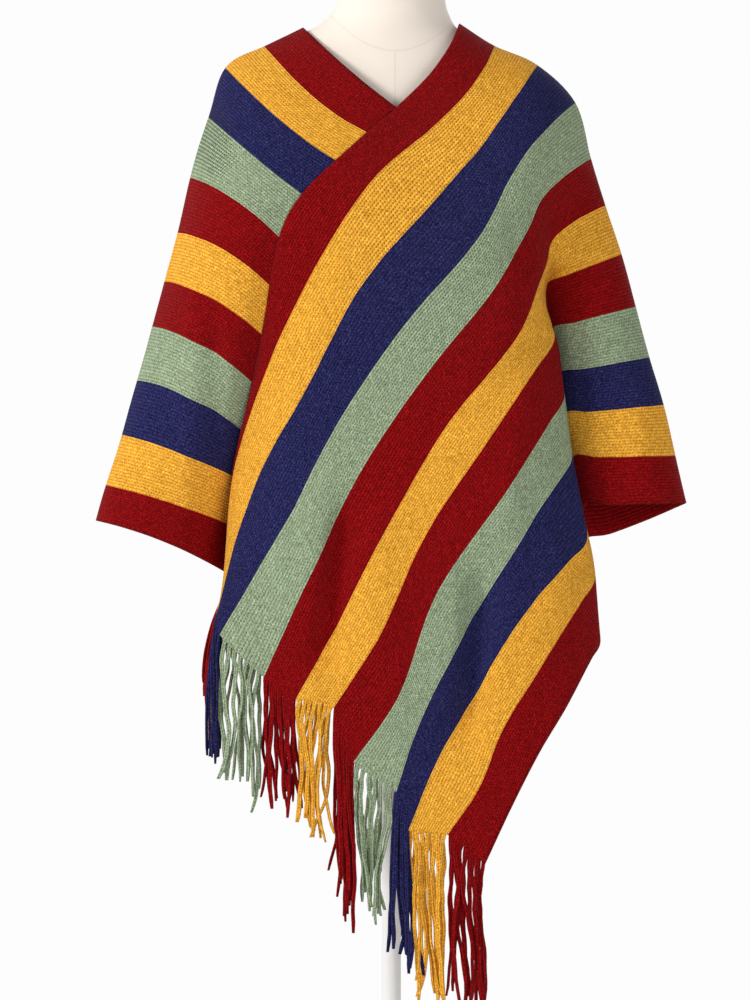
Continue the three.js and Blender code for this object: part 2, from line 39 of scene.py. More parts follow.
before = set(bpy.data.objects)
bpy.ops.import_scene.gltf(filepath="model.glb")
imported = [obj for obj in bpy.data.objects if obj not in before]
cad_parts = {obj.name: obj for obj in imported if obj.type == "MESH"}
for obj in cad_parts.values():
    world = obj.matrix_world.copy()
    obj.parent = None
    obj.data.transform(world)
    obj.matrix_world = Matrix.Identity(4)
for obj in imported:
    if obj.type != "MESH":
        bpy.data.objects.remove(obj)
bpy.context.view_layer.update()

# Sizes shared with the solids, in millimetres unless a name says otherwise
MM = 0.001
WALL = 2.4
STRIPES = 11
CELLS_ACROSS = 22
SEAM_HALF = WALL / 2 + 0.6
BACK_DEPTH_SHARE = 0.88
BODY_SQUARENESS = 4
STRIPE_WIDTH = 53.5

ARM_ROW = 4
TUCK_ROW = 5
EDGE_ROW = 7
CHEST_ROW = 11
WAIST_ROW = 16
HIP_ROW = 21
HEM_ROW = 26
SEAM_ROW = 6

SLEEVE_DEPTH = 46
SLEEVE_TURN = 150
SHOULDER_TURN = 90
TUCK_INSET = 2.5
CUFF_BACK_DROP = 36
CUFF_STRIPES = 2
FOLD_FALL = 110
HEM_SPREAD_ROWS = 4
BACK_CREASE_SHIFT = 23

STRIPE_NAMES = [
    "red", "mustard", "navy", "sage", "red", "mustard",
    "red", "sage", "navy", "mustard", "red",
]

# Long strip over the shoulder: a row for each stripe boundary, from the neck edge to the outer edge
OVER_SHOULDER = [
    # ridge_x, ridge_z, arm_x, arm_z, bow, tuck, tuck_fall
    (71, 1399, 5, 1308, 10, 0, 0),
    (107, 1376, 38, 1284, 10, 0, 0),
    (153, 1356, 91, 1264, 1, 0, 0),
    (193, 1316, 122, 1231, -7, 0, 0),
    (209, 1259, 143, 1185, -13, 0, 0),
    (225, 1209, 162, 1147, -19, 0, 0),
    (242, 1157, 164, 1126, 0, 32, 0.35),
    (257, 1101, 170, 1078, 0, 23, 0.35),
    (271, 1049, 177, 1032, 0, 17, 0.35),
    (286, 998, 182, 988, 0, 12, 0.35),
    (299, 944, 191, 942, 0, 7, 0.4),
    (311, 894, 203, 890, 0, SEAM_HALF, 0.5),
]

# Long strip down the front: the same boundaries from the body's edge to the fringed end
DOWN_FRONT = [
    # edge_x, edge_z, chest_x, chest_z, waist_x, waist_z, hip_x, hip_z, hem_x, hem_z
    (-41, 1268, -108, 1196, -136, 1071, -159, 946, -170, 818),
    (-18, 1236, -78, 1146, -130, 1037, -166, 923, -176, 797),
    (44, 1211, -32, 1122, -90, 1013, -146, 908, -183, 776),
    (91, 1172, 13, 1080, -55, 980, -111, 874, -180, 756),
    (107, 1121, 32, 1026, -36, 924, -88, 816, -135, 713),
    (132, 1072, 58, 977, -4, 872, -57, 769, -101, 689),
    (170, 1064, 102, 962, 36, 862, -14, 754, -61, 680),
    (180, 1003, 116, 901, 48, 801, 6, 690, -40, 623),
    (188, 942, 125, 841, 68, 746, 27, 660, 4, 593),
    (204, 856, 133, 771, 87, 693, 47, 625, 17, 552),
    (213, 814, 156, 723, 116, 657, 91, 596, 58, 547),
    (219, 748, 183, 680, 154, 631, 127, 578, 98, 516),
]

HEM_SIDE_DEPTHS = [SEAM_HALF, 36, 66, 86]

# Short strip: a row for each stripe boundary, from the neck edge to the cuff
SHORT_STRIP = [
    # ridge_x, ridge_z, rise, bulge
    (-93, 1395, -4, 0),
    (-133, 1376, -11, 0),
    (-174, 1353, -8, 2),
    (-192, 1301, -3, 8),
    (-211, 1239, 7, 15),
    (-224, 1180, 9, 22),
    (-238, 1128, 9, 28),
    (-251, 1080, 9, 32),
    (-267, 1025, 9, 36),
    (-283, 967, 4, 40),
    (-300, 913, 4, 43),
    (-311, 875, 7, 45),
]

# Body of the worn cloth: a row for each height, from the neck down
BODY_SECTIONS = [
    # z, left, right, front
    (1400, -120, 115, 50),
    (1356, -165, 165, 72),
    (1308, -190, 205, 90),
    (1240, -200, 215, 108),
    (1168, -178, 173, 118),
    (1065, -170, 180, 116),
    (945, -172, 199, 110),
    (818, -190, 220, 106),
    (748, -194, 228, 103),
    (500, -196, 232, 97),
]

# Largest folds, as in the solids
FOLDS = [
    # top_x, top_z, low_x, low_z, width, depth
    (-40, 930, -66, 735, 27, 12),
    (96, 860, 80, 650, 27, 12),
    (20, 900, 10, 740, 24, 4),
    (-60, 1190, -112, 1075, 20, 5),
]

# Finer creases, pressed into the surface where it already lies; a negative depth is a ridge
CREASES = [
    # top_x, top_z, low_x, low_z, width, depth
    (-46, 915, -66, 740, 13, 8),
    (94, 840, 82, 664, 13, 8),
    (-66, 900, -88, 760, 13, -2.5),
    (70, 830, 58, 690, 13, -2.5),
    (60, 1015, 20, 900, 13, 2.6),
    (128, 1000, 118, 870, 15, -2.4),
    (24, 820, 18, 700, 12, 2.4),
    (-92, 960, -104, 830, 13, 2.2),
    (120, 780, 96, 640, 12, -2.2),
    (152, 930, 150, 790, 12, 2.4),
    (-16, 1160, -60, 1060, 14, 1.8),
    (84, 1240, 20, 1150, 16, 1.6),
    (-130, 1010, -150, 880, 11, 2),
    (60, 700, 52, 600, 10, 2),
]

# Creases of the two sleeves, in front and behind
SLEEVE_CREASES = [
    # top_x, top_z, low_x, low_z, width, depth
    (-196, 1210, -216, 900, 14, -3.2),
    (-232, 1090, -262, 930, 12, 2.2),
    (-186, 1120, -182, 960, 10, 2.4),
    (214, 1080, 236, 930, 12, 2.4),
    (250, 1030, 272, 920, 11, -2.2),
    (196, 1100, 202, 980, 9, 2),
]

# Dress form: a row for each height, from the top of the neck down
FORM_SECTIONS = [
    # z, centre_x, half_width, half_depth, fullness
    (1462, 0, 56, 52, 2),
    (1444, 0, 56, 51.5, 2),
    (1428, 0, 56.5, 51, 2),
    (1416, -0.5, 59, 50.5, 2),
    (1407, -2, 64, 50.5, 1.95),
    (1400, -4.5, 70, 51, 1.9),
    (1394, -7.5, 78, 52, 1.85),
    (1386, -11, 93, 53.5, 1.8),
    (1376, -13, 112, 56, 1.75),
    (1366, -10, 130, 59.5, 1.7),
    (1356, -7, 147, 63, 1.65),
    (1338, -3, 168, 67, 1.65),
    (1318, 0, 182, 71, 1.75),
    (1290, -6, 174, 77, 2),
    (1240, -6, 170, 87, 2),
    (1180, -6, 158, 95, 2),
    (1110, -6, 148, 95, 2),
    (1020, -6, 134, 87, 2),
    (930, -6, 144, 83, 2),
    (850, -6, 156, 83, 2),
    (790, -6, 158, 81, 2),
]
FORM_BACK_SHARE = 0.86
FORM_STEPS = 5
FORM_SIDES = 72

# Seams of the form's cover, in metres: their half width, the centre's place and the neck's curve
SEAM_LINE = 0.0007
COVER_CENTRE = 0.004
NECK_SEAM_HEIGHT = 1.369
NECK_SEAM_CURVE = 8.4

# Fringe: a row for each stripe; the cords of one stripe stay side by side over the joined share
FRINGE_ROWS = [
    # strand_length, tips_from_x, tips_to_x, joined
    (124, -197, -189, 0.1),
    (129, -193, -190, 0.1),
    (138, -194, -182, 0.1),
    (135, -180, -138, 0.08),
    (122, -134, -97, 0.3),
    (134, -96, -69, 0.16),
    (182, -58, -38, 0.42),
    (144, -36, -7, 0.06),
    (157, -3, 26, 0.4),
    (168, 28, 59, 0.08),
    (174, 62, 100, 0.1),
]
STRANDS_PER_STRIPE = 7
STRAND_UNEVENNESS = 0.1
ROOT_PITCH = STRIPE_WIDTH / STRANDS_PER_STRIPE
ROOTS_FROM = 0.04
ROOTS_TO = 0.96
LAYER_OFFSET = 1.9
RIPPLE_LENGTH = 26
FLICK_FROM = 0.7
BACK_SEED = 200
CORD_SIDES = 8

# Where the knit is looser and more open, in metres, and how loose it gets there at most
LOOSE_PATCHES = {
    # x, z, reach, most
    "sleeve": (-0.187, 1.272, 0.030, 1.0),
    "chest": (0.045, 1.195, 0.120, 0.45),
}

FLECKS = 0.95
GAP_SHADE = 0.56
CLOTH_SPECULAR = 0.07

# Photo framing, in metres: the frame's height, the middle of the view and the camera's distance
FRAME_HEIGHT = 1.05
VIEW_CENTRE = (-0.0173, 0.897)
CAMERA_DISTANCE = 10.0
CLOTH_FRONT = -0.06

FLOOR_RADIUS = 3.2
AMBIENT = 0.4
BACKDROP = 0.98

LIGHTS = [
    # name, place, target, size, power_share
    ("key", (-3.1, -2.0, 2.5), (0, 0, 0.95), (1.0, 1.0), 1.9),
    ("fill", (2.0, -3.0, 1.6), (0, 0, 0.95), (1.8, 1.8), 0.55),
    ("back_left", (-2.0, 1.2, 2.6), (0, 0, 1.0), (1.0, 1.4), 0.2),
    ("behind", (1.2, 3.2, 2.4), (0, 0, 0.95), (1.8, 1.8), 0.8),
]


class PonchoKnit(bpy.types.PropertyGroup):
    """Yarn colours and the size of the stitches"""

    red: FloatVectorProperty(
        name="Dark red", description="Colour of the dark red yarn", subtype="COLOR",
        default=(0.235, 0.0018, 0.003), min=0, max=1,
    )
    mustard: FloatVectorProperty(
        name="Mustard", description="Colour of the mustard yarn", subtype="COLOR",
        default=(0.84, 0.40, 0.040), min=0, max=1,
    )
    navy: FloatVectorProperty(
        name="Navy", description="Colour of the navy yarn", subtype="COLOR",
        default=(0.019, 0.019, 0.088), min=0, max=1,
    )
    sage: FloatVectorProperty(
        name="Sage", description="Colour of the sage green yarn", subtype="COLOR",
        default=(0.30, 0.375, 0.235), min=0, max=1,
    )
    ridge_pitch: FloatProperty(
        name="Ridge pitch", description="Distance between two ridges of stitches, across the stripes",
        default=STRIPE_WIDTH * MM / 16, min=0.001, max=0.02, unit="LENGTH",
    )
    stitch_pitch: FloatProperty(
        name="Stitch pitch", description="Distance between two stitches of one ridge",
        default=0.0034, min=0.001, max=0.02, unit="LENGTH",
    )
    cells: IntProperty(
        name="Cells per half stripe", description="Fineness of the cloth across the stripes",
        default=4, min=1, max=6,
    )
    steps: IntProperty(
        name="Steps per row", description="Fineness of the cloth along the stripes",
        default=6, min=1, max=8,
    )


class PonchoFringe(bpy.types.PropertyGroup):
    """Sizes of the fringe cords"""

    width: FloatProperty(
        name="Cord width", description="Width of one flat knitted cord",
        default=0.0044, min=0.001, max=0.02, unit="LENGTH",
    )
    thickness: FloatProperty(
        name="Cord thickness", description="Thickness of one flat knitted cord",
        default=0.0028, min=0.001, max=0.02, unit="LENGTH",
    )
    sway: FloatProperty(
        name="Sway", description="How far a cord waves to the side",
        default=0.0038, min=0, max=0.01, unit="LENGTH",
    )
    steps: IntProperty(
        name="Steps", description="Rings along one cord", default=28, min=4, max=40,
    )


class PonchoStage(bpy.types.PropertyGroup):
    """Dress form cover, floor and light"""

    cover: FloatVectorProperty(
        name="Form cover", description="Colour of the dress form's cloth cover", subtype="COLOR",
        default=(0.96, 0.86, 0.76), min=0, max=1,
    )
    paint: FloatVectorProperty(
        name="Stand paint", description="Colour of the pole and base", subtype="COLOR",
        default=(0.86, 0.86, 0.85), min=0, max=1,
    )
    floor: FloatVectorProperty(
        name="Floor", description="Colour of the floor", subtype="COLOR",
        default=(0.93, 0.93, 0.93), min=0, max=1,
    )
    key_power: FloatProperty(
        name="Key power", description="Power of the key light", default=53, min=0, max=2000, unit="POWER",
    )


def smooth(share):
    """Eases from 0 to 1 while the share goes from 0 to 1."""
    t = min(max(share, 0.0), 1.0)
    return t * t * (3 - 2 * t)


def mix(a, b, share):
    return a + (b - a) * share


def unevenness(seed):
    """A number from -1 to 1 that is always the same for one seed."""
    wave = math.sin(seed * 12.9898) * 43758.5453
    return 2 * (wave - math.floor(wave)) - 1


def read_table(table, column, key):
    """Value between the rows of a table whose first column falls."""
    if key >= table[0][0]:
        return table[0][column]
    for above, below in zip(table, table[1:]):
        if key >= below[0]:
            return mix(above[column], below[column], (above[0] - key) / (above[0] - below[0]))
    return table[-1][column]


def spline(points, places, centripetal=False):
    """Points of a Catmull-Rom curve through the given points, at places from 0 to 1."""
    points = np.asarray(points, dtype=float)
    first = 2 * points[0] - points[1]
    last = 2 * points[-1] - points[-2]
    padded = np.vstack([first[None], points, last[None]])
    spans = len(points) - 1
    made = []
    for place in places:
        position = min(max(place, 0.0), 1.0) * spans
        span = min(int(position), spans - 1)
        t = position - span
        p0, p1, p2, p3 = padded[span : span + 4]
        if centripetal:
            pairs = ((p0, p1), (p1, p2), (p2, p3))
            d0, d1, d2 = (max(float(np.linalg.norm(b - a)) ** 0.5, 1e-4) for a, b in pairs)
            t1 = ((p1 - p0) / d0 - (p2 - p0) / (d0 + d1) + (p2 - p1) / d1) * d1
            t2 = ((p2 - p1) / d1 - (p3 - p1) / (d1 + d2) + (p3 - p2) / d2) * d1
        else:
            t1 = (p2 - p0) / 2
            t2 = (p3 - p1) / 2
        made.append(
            p1 + t1 * t + (-3 * p1 + 3 * p2 - 2 * t1 - t2) * t * t + (2 * p1 - 2 * p2 + t1 + t2) * t ** 3
        )
    return np.array(made)


def ridge_height(x):
    """Height of the shoulder fold at one side-to-side place."""
    line = [row[:2] for row in reversed(SHORT_STRIP)] + [row[:2] for row in OVER_SHOULDER]
    return float(np.interp(x, [p[0] for p in line], [p[1] for p in line]))


def body_depth(x, z):
    """How far in front of the middle the body cloth lies."""
    left, right, front = (read_table(BODY_SECTIONS, column, z) for column in (1, 2, 3))
    across = min(max((2 * x - left - right) / (right - left), -1), 1)
    roundness = math.sqrt(1 - abs(across) ** BODY_SQUARENESS)
    fall = min(max((ridge_height(x) - z) / FOLD_FALL, 0), 1)
    return front * roundness * math.sqrt(1 - (1 - fall) ** 2)


def crease_depth(table, x, z):
    """Depth that the creases of one table take out of the cloth at one place."""
    total = 0.0
    for top_x, top_z, low_x, low_z, width, depth in table:
        along = (top_z - z) / (top_z - low_z)
        ends = smooth(along * 3) * smooth((1.25 - along) * 3)
        if ends > 0:
            offset = (x - mix(top_x, low_x, along)) / width
            total += depth * ends * math.exp(-offset * offset)
    return total


def front_point(x, z):
    return [x, -max(body_depth(x, z), SEAM_HALF), z]


def shoulder_stretch(ridge, arm, bow, depth, turn, rows):
    """Points from the shoulder fold to where the sleeve or the chest begins, bowed to one side."""
    whole = math.radians(turn)
    points = []
    for row in range(rows + 1):
        angle = whole * row / rows
        share = (1 - math.cos(angle)) / (1 - math.cos(whole))
        x = mix(ridge[0], arm[0], share) + 4 * bow * share * (1 - share)
        points.append([x, -depth * math.sin(angle), mix(ridge[1], arm[1], share)])
    return points


def long_boundary(k):
    """One stripe boundary of the long strip from the shoulder fold to the fringed end."""
    ridge_x, ridge_z, arm_x, arm_z, bow, tuck, tuck_fall = OVER_SHOULDER[k]
    edge_x, edge_z = DOWN_FRONT[k][:2]
    sleeve = tuck > 0
    depth = SLEEVE_DEPTH if sleeve else body_depth(arm_x, arm_z)
    turn = SLEEVE_TURN if sleeve else SHOULDER_TURN
    points = shoulder_stretch((ridge_x, ridge_z), (arm_x, arm_z), bow, depth, turn, ARM_ROW)
    corners = [DOWN_FRONT[k][i : i + 2] for i in range(0, len(DOWN_FRONT[k]), 2)]
    stations = [EDGE_ROW, CHEST_ROW, WAIST_ROW, HIP_ROW, HEM_ROW]
    if sleeve:
        tuck_x = min(arm_x, edge_x) - TUCK_INSET
        tuck_z = mix(arm_z, edge_z, tuck_fall)
        side_depth = mix(tuck, body_depth(edge_x, edge_z), 0.42)
        points.append([tuck_x, -tuck, tuck_z])
        points.append([mix(tuck_x, edge_x, 0.72), -side_depth, mix(tuck_z, edge_z, 0.55)])
    else:
        corners.insert(0, (arm_x, arm_z))
        stations.insert(0, ARM_ROW)
    places = np.interp(range(len(points), HEM_ROW + 1), stations, np.linspace(0, 1, len(stations)))
    for x, z in spline(corners, places, centripetal=True):
        points.append(front_point(x, z))
    if k < len(HEM_SIDE_DEPTHS):
        start = HIP_ROW - HEM_SPREAD_ROWS
        for row in range(start + 1, HEM_ROW + 1):
            share = smooth((row - start) / (HEM_ROW - start))
            points[row][1] = mix(points[row][1], -HEM_SIDE_DEPTHS[k], share)
    return points


def long_rows(cells):
    """Rows of the long strip from the front end over the fold to the back end, with cells across."""
    lines = [long_boundary(k) for k in range(len(OVER_SHOULDER))]
    places = np.linspace(0, 1, cells + 1)
    front = [spline([line[row] for line in lines], places) for row in range(HEM_ROW + 1)]
    for points in front[ARM_ROW:]:
        for point in points:
            point[1] = min(point[1] + crease_depth(FOLDS, point[0], point[2]), -SEAM_HALF)
    back = []
    for row, points in enumerate(front[1:], 1):
        points = points.copy()
        points[:, 1] = np.maximum(-points[:, 1] * BACK_DEPTH_SHARE, SEAM_HALF)
        if row <= ARM_ROW:
            outer = places * STRIPES - (STRIPES - CUFF_STRIPES)
            near_cuff = np.array([smooth(share) for share in outer / CUFF_STRIPES])
            points[:, 2] -= CUFF_BACK_DROP * near_cuff * smooth(row / ARM_ROW)
        back.append(points)
    return np.array(front[::-1] + back)


def short_half(seam, side, cells):
    """Rows of the short strip from its shoulder fold to one seam; side is -1 in front, 1 behind."""
    places = np.linspace(0, 1, cells + 1)
    ridge = spline([(row[0], 0, row[1]) for row in SHORT_STRIP], places)
    boundaries = range(STRIPES + 1)
    rise = np.interp(places * STRIPES, boundaries, [row[2] for row in SHORT_STRIP])
    bulge = np.interp(places * STRIPES, boundaries, [row[3] for row in SHORT_STRIP])
    rows = []
    for row in range(SEAM_ROW + 1):
        along = row / SEAM_ROW
        points = []
        for cell in range(cells + 1):
            whole = math.radians(mix(SHOULDER_TURN, SLEEVE_TURN, places[cell]))
            reach = (1 - math.cos(whole * along)) / (1 - math.cos(whole))
            end = seam[cell]
            x = mix(ridge[cell][0], end[0], reach)
            z = mix(ridge[cell][2], end[2], reach) + 4 * rise[cell] * reach * (1 - reach)
            bow = math.sin(math.pi * along) ** 0.8 if 0 < row < SEAM_ROW else 0
            depth = abs(end[1]) * math.sin(math.pi / 2 * along) + bulge[cell] * bow
            points.append([x, side * depth, z])
        rows.append(points)
    return rows


def short_rows(cells):
    """Rows of the short strip from its back seam over the fold to its front seam."""
    long_grid = long_rows(CELLS_ACROSS)
    edge = long_grid[:, 0]
    places = np.linspace(0, 1, cells + 1)
    front_seam = spline(edge[HEM_ROW - ARM_ROW :: -1], places)
    back_seam = spline(edge[HEM_ROW + ARM_ROW :], places)
    front = short_half(front_seam, -1, cells)
    back = short_half(back_seam, 1, cells)
    return np.array(back[::-1] + front[1:])


def refine_along(rows, steps):
    """More rows between the given ones, on smooth curves along the stripes."""
    places = np.linspace(0, 1, (len(rows) - 1) * steps + 1)
    return spline(rows, places)


def grid_normals(grid):
    """Unit normals of a grid of points, which point inward on both strips."""
    along = np.gradient(grid, axis=0)
    across = np.gradient(grid, axis=1)
    normals = np.cross(along, across)
    return normals / np.maximum(np.linalg.norm(normals, axis=2, keepdims=True), 1e-9)


def press_creases(grid, tables):
    """Moves the surface along its own normals, which point inward, by the finer creases."""
    normals = grid_normals(grid)
    moved = grid.copy()
    rows, columns = grid.shape[:2]
    for row in range(rows):
        for column in range(columns):
            x, y, z = grid[row, column]
            shift = 0 if y < 0 else BACK_CREASE_SHIFT
            inward = sum(crease_depth(table, x + shift, z + shift) for table in tables)
            waver = 0.5 * math.sin(x * 0.045 + z * 0.021) * math.sin(z * 0.033 + y * 0.05)
            moved[row, column] += normals[row, column] * (inward - waver)
    return moved


def cloth_lengths(grid, hem_from, sleeve_from):
    """Distance along the stripes at every point, counted so that the stitch rows run straight."""
    steps = np.linalg.norm(np.diff(grid, axis=0), axis=2)
    run = np.vstack([np.zeros((1, grid.shape[1])), np.cumsum(steps, axis=0)])
    fold = (grid.shape[0] - 1) // 2
    if hem_from:
        lengths = np.where(np.arange(len(grid))[:, None] <= fold, run, run[-1] - run)
    else:
        lengths = np.abs(run - run[fold])
    if sleeve_from is not None:
        column, reach = sleeve_from
        top = lengths[fold, column]
        near = np.abs(np.arange(len(grid)) - fold) <= reach
        for place in range(column, grid.shape[1]):
            lengths[near, place] = top - np.abs(run[near, place] - run[fold, place])
    return lengths * MM


def cloth_mesh(name, grid, lengths):
    """A sheet on the given grid, with the cloth's own places across and along as its UV map."""
    rows, columns = grid.shape[:2]
    shape = bmesh.new()
    bmesh.ops.create_grid(shape, x_segments=columns - 1, y_segments=rows - 1, size=1)
    uv = shape.loops.layers.uv.new("Cloth")
    where = {}
    for vertex in shape.verts:
        column = round((vertex.co.x + 1) / 2 * (columns - 1))
        row = round((vertex.co.y + 1) / 2 * (rows - 1))
        where[vertex] = (row, column)
    for vertex, (row, column) in where.items():
        vertex.co = Vector(grid[row, column]) * MM
    for face in shape.faces:
        face.smooth = True
        for loop in face.loops:
            row, column = where[loop.vert]
            loop[uv].uv = (column / (columns - 1) * STRIPES * STRIPE_WIDTH * MM, lengths[row, column])
    bmesh.ops.reverse_faces(shape, faces=shape.faces)
    return mesh_object(name, shape)


def mesh_object(name, shape):
    mesh = bpy.data.meshes.new(name)
    shape.to_mesh(mesh)
    shape.free()
    made = bpy.data.objects.new(name, mesh)
    bpy.context.scene.collection.objects.link(made)
    return made


def give_wall(piece):
    """Gives a sheet the cloth's thickness, half of it on each side."""
    wall = piece.modifiers.new("Wall", "SOLIDIFY")
    wall.thickness = WALL * MM
    wall.offset = 0
    wall.use_even_offset = False


class Nodes:
    """Adds and links the nodes of one tree."""

    def __init__(self, tree):
        self.tree = tree

    def add(self, kind, **values):
        node = self.tree.nodes.new(kind)
        for name, value in values.items():
            setattr(node, name, value)
        return node

    def feed(self, socket, value):
        if isinstance(value, bpy.types.NodeSocket):
            self.tree.links.new(value, socket)
        else:
            socket.default_value = value

    def math(self, operation, *values):
        node = self.add("ShaderNodeMath", operation=operation)
        for socket, value in zip(node.inputs, values):
            self.feed(socket, value)
        return node.outputs[0]

    def mix_colour(self, share, first, second, blend="MIX"):
        node = self.add("ShaderNodeMix", data_type="RGBA", blend_type=blend)
        self.feed(node.inputs["Factor"], share)
        self.feed(node.inputs["A"], first)
        self.feed(node.inputs["B"], second)
        return node.outputs["Result"]

    def noise(self, vector, scale, detail=2.0, roughness=0.5):
        node = self.add("ShaderNodeTexNoise")
        self.feed(node.inputs["Vector"], vector)
        node.inputs["Scale"].default_value = scale
        node.inputs["Detail"].default_value = detail
        node.inputs["Roughness"].default_value = roughness
        return node.outputs["Fac"]


def new_group(name, inputs, outputs):
    """An empty shader group with named sockets, and its input and output nodes."""
    group = bpy.data.node_groups.new(name, "ShaderNodeTree")
    for label, kind, default in inputs:
        socket = group.interface.new_socket(label, in_out="INPUT", socket_type=kind)
        if default is not None:
            socket.default_value = default
    for label, kind in outputs:
        group.interface.new_socket(label, in_out="OUTPUT", socket_type=kind)
    nodes = Nodes(group)
    return nodes, nodes.add("NodeGroupInput").outputs, nodes.add("NodeGroupOutput").inputs


def stitch_group():
    """Ridges of staggered stitches: how high the yarn stands, the gaps between, and each stitch's shade."""
    if "Knit Stitches" in bpy.data.node_groups:
        return bpy.data.node_groups["Knit Stitches"]
    nodes, given, made = new_group(
        "Knit Stitches",
        [
            ("Across", "NodeSocketFloat", 0),
            ("Along", "NodeSocketFloat", 0),
            ("Looseness", "NodeSocketFloat", 0),
        ],
        [("Height", "NodeSocketFloat"), ("Gap", "NodeSocketFloat"), ("Shade", "NodeSocketFloat")],
    )
    across, along, loose = given["Across"], given["Along"], given["Looseness"]
    ridge = nodes.math("FLOOR", across)
    stagger = nodes.math("MULTIPLY", nodes.math("MODULO", ridge, 2.0), 0.5)
    from_crown = nodes.math("SUBTRACT", nodes.math("FRACT", across), 0.5)
    shifted = nodes.math("ADD", nodes.math("ADD", along, stagger), nodes.math("MULTIPLY", from_crown, 0.4))
    from_middle = nodes.math("SUBTRACT", nodes.math("FRACT", shifted), 0.5)
    side = nodes.math("MULTIPLY", nodes.math("MULTIPLY", from_crown, from_crown), 4.0)
    end = nodes.math("MULTIPLY", nodes.math("MULTIPLY", from_middle, from_middle), 4.0)
    across_crown = nodes.math("SUBTRACT", 1.0, side)
    along_crown = nodes.math("MULTIPLY_ADD", end, -0.45, 1.0)
    crown = nodes.math("MULTIPLY", across_crown, along_crown)
    ends = nodes.math("MULTIPLY", end, nodes.math("MULTIPLY_ADD", loose, 0.25, 0.75))
    middle = nodes.math("MULTIPLY_ADD", loose, -0.25, 0.25)
    valley = nodes.math("MULTIPLY", side, nodes.math("ADD", ends, middle))
    opening = nodes.add("ShaderNodeMapRange", interpolation_type="SMOOTHSTEP")
    nodes.feed(opening.inputs["Value"], valley)
    nodes.feed(opening.inputs["From Min"], nodes.math("MULTIPLY_ADD", loose, -0.22, 0.14))
    nodes.feed(opening.inputs["From Max"], nodes.math("MULTIPLY_ADD", loose, -0.34, 0.72))
    cell = nodes.add("ShaderNodeCombineXYZ")
    nodes.feed(cell.inputs["X"], ridge)
    nodes.feed(cell.inputs["Y"], nodes.math("FLOOR", shifted))
    chance = nodes.add("ShaderNodeTexWhiteNoise", noise_dimensions="2D")
    nodes.feed(chance.inputs["Vector"], cell.outputs[0])
    nodes.feed(made["Height"], crown)
    nodes.feed(made["Gap"], opening.outputs["Result"])
    nodes.feed(made["Shade"], chance.outputs["Value"])
    return nodes.tree


def heather_group():
    """Yarn colour with the fine light and dark flecks of spun wool."""
    if "Heathered Yarn" in bpy.data.node_groups:
        return bpy.data.node_groups["Heathered Yarn"]
    nodes, given, made = new_group(
        "Heathered Yarn",
        [
            ("Color", "NodeSocketColor", None),
            ("Vector", "NodeSocketVector", None),
            ("Amount", "NodeSocketFloat", 0.3),
        ],
        [("Color", "NodeSocketColor")],
    )
    fleck = nodes.noise(given["Vector"], 620.0, 2.0, 0.7)
    patch = nodes.noise(given["Vector"], 24.0, 2.0)
    light = nodes.math("MULTIPLY", nodes.math("SUBTRACT", fleck, 0.5), given["Amount"])
    slow = nodes.math("MULTIPLY", nodes.math("SUBTRACT", patch, 0.5), 0.07)
    richer = nodes.add("ShaderNodeGamma")
    nodes.feed(richer.inputs["Color"], given["Color"])
    nodes.feed(richer.inputs["Gamma"], nodes.math("SUBTRACT", 1.0, nodes.math("MULTIPLY", light, 1.1)))
    scale = nodes.math("ADD", nodes.math("MULTIPLY_ADD", light, 1.5, 1.0), slow)
    shaded = nodes.add("ShaderNodeVectorMath", operation="SCALE")
    nodes.feed(shaded.inputs[0], richer.outputs[0])
    nodes.feed(shaded.inputs["Scale"], scale)
    nodes.feed(made["Color"], shaded.outputs[0])
    return nodes.tree


def place_group(nodes, group, **values):
    """Places a shared group in a tree and gives its outputs."""
    node = nodes.add("ShaderNodeGroup", node_tree=group)
    for name, value in values.items():
        nodes.feed(node.inputs[name], value)
    return node.outputs


def new_material(name, roughness, sheen):
    material = bpy.data.materials.new(name)
    material.use_nodes = True
    shader = material.node_tree.nodes["Principled BSDF"]
    shader.inputs["Roughness"].default_value = roughness
    shader.inputs["Sheen Weight"].default_value = sheen
    shader.inputs["Sheen Roughness"].default_value = 0.5
    shader.inputs["Specular IOR Level"].default_value = CLOTH_SPECULAR
    return material, Nodes(material.node_tree), shader


def bump_into(nodes, shader, height, distance, strength):
    bump = nodes.add("ShaderNodeBump")
    bump.inputs["Strength"].default_value = strength
    bump.inputs["Distance"].default_value = distance
    nodes.feed(bump.inputs["Height"], height)
    nodes.feed(shader.inputs["Normal"], bump.outputs["Normal"])


def stripe_colour(nodes, across, knit):
    """Hard-edged colours of the stripes from the place across the cloth, in metres."""
    ramp = nodes.add("ShaderNodeValToRGB")
    ramp.color_ramp.interpolation = "CONSTANT"
    stops = ramp.color_ramp.elements
    while len(stops) < STRIPES:
        stops.new(len(stops) / STRIPES)
    for index, name in enumerate(STRIPE_NAMES):
        stops[index].position = index / STRIPES
        stops[index].color = (*getattr(knit, name), 1)
    share = nodes.math("DIVIDE", across, STRIPES * STRIPE_WIDTH * MM)
    nodes.feed(ramp.inputs["Fac"], share)
    return ramp.outputs["Color"]


def shaded_gap(nodes, tone, loose):
    """Painted shade between the stitches: a deeper, darker tone of the yarn, near black in the open holes
    where the knit is loose.
    """
    deep = nodes.add("ShaderNodeGamma")
    nodes.feed(deep.inputs["Color"], tone)
    deep.inputs["Gamma"].default_value = 1.5
    dark = nodes.mix_colour(1.0, deep.outputs[0], (GAP_SHADE, GAP_SHADE, GAP_SHADE, 1), "MULTIPLY")
    return nodes.mix_colour(loose, dark, (0.02, 0.018, 0.015, 1))


